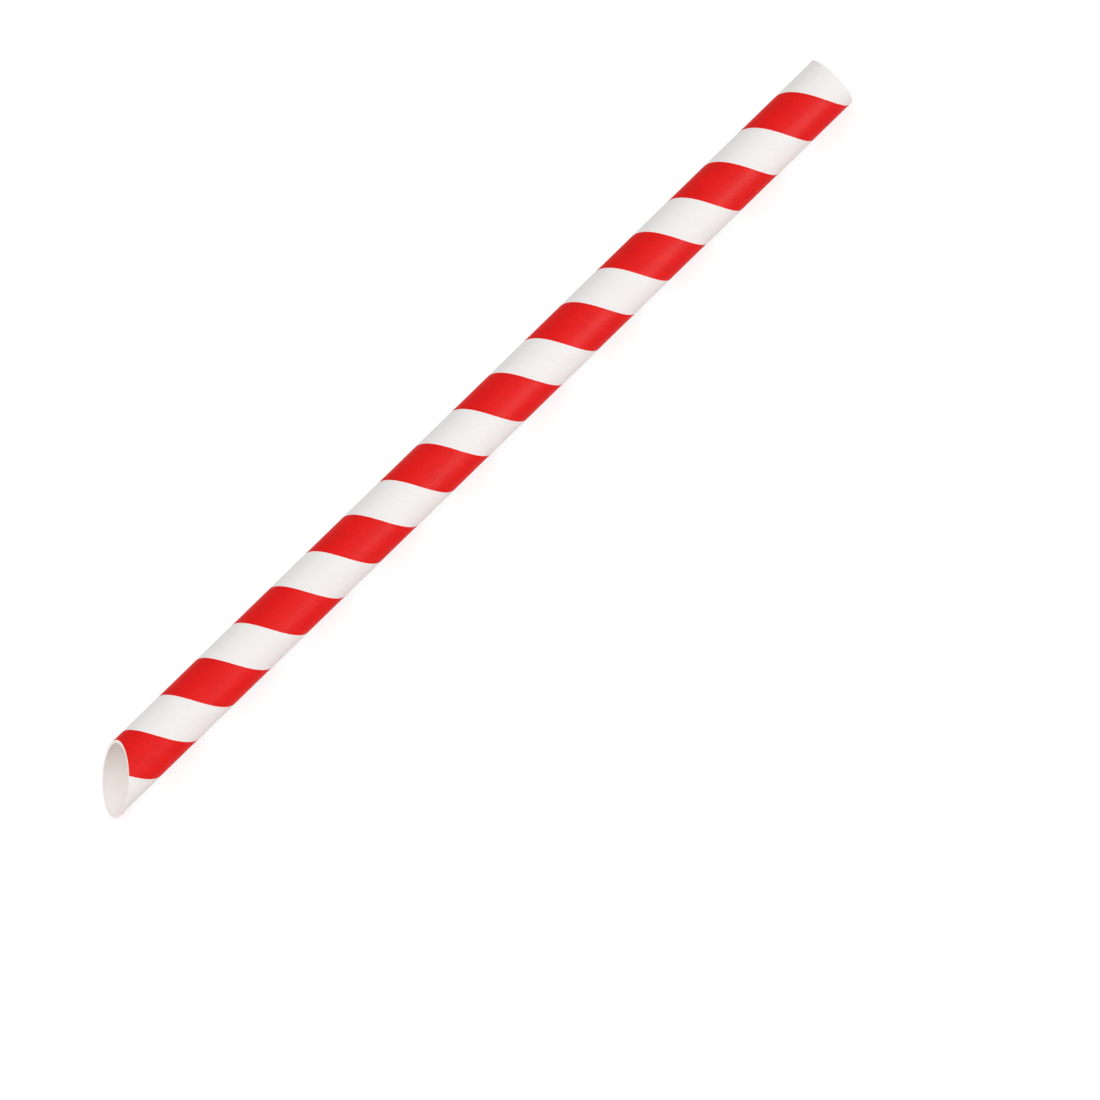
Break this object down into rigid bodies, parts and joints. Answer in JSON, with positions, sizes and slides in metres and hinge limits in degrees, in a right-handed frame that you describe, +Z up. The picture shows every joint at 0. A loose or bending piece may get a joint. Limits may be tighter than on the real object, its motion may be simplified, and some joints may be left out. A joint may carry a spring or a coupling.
{
  "type": "paper drinking straw",
  "caption": "Wide spiral-wound paper tube with a red and white spiral stripe, cut square at the drinking end and slanted to a point at the other.",
  "frame": {"origin": "on the surface that the straw lies on, under the middle of its length and of its width", "axes": "+X along the straw's axis towards the square end, +Z up from the surface; the slanted end points to -X, with its longer side underneath"},
  "size_m": [0.214, 0.012, 0.012],
  "materials": {
    "striped_paper": "smooth white paper with a satin sheen and a red spiral stripe, about half of each turn, on the outside only"
  },
  "bodies": {
    "root": {"paper_tube": "striped_paper"}
  },
  "joints": []
}
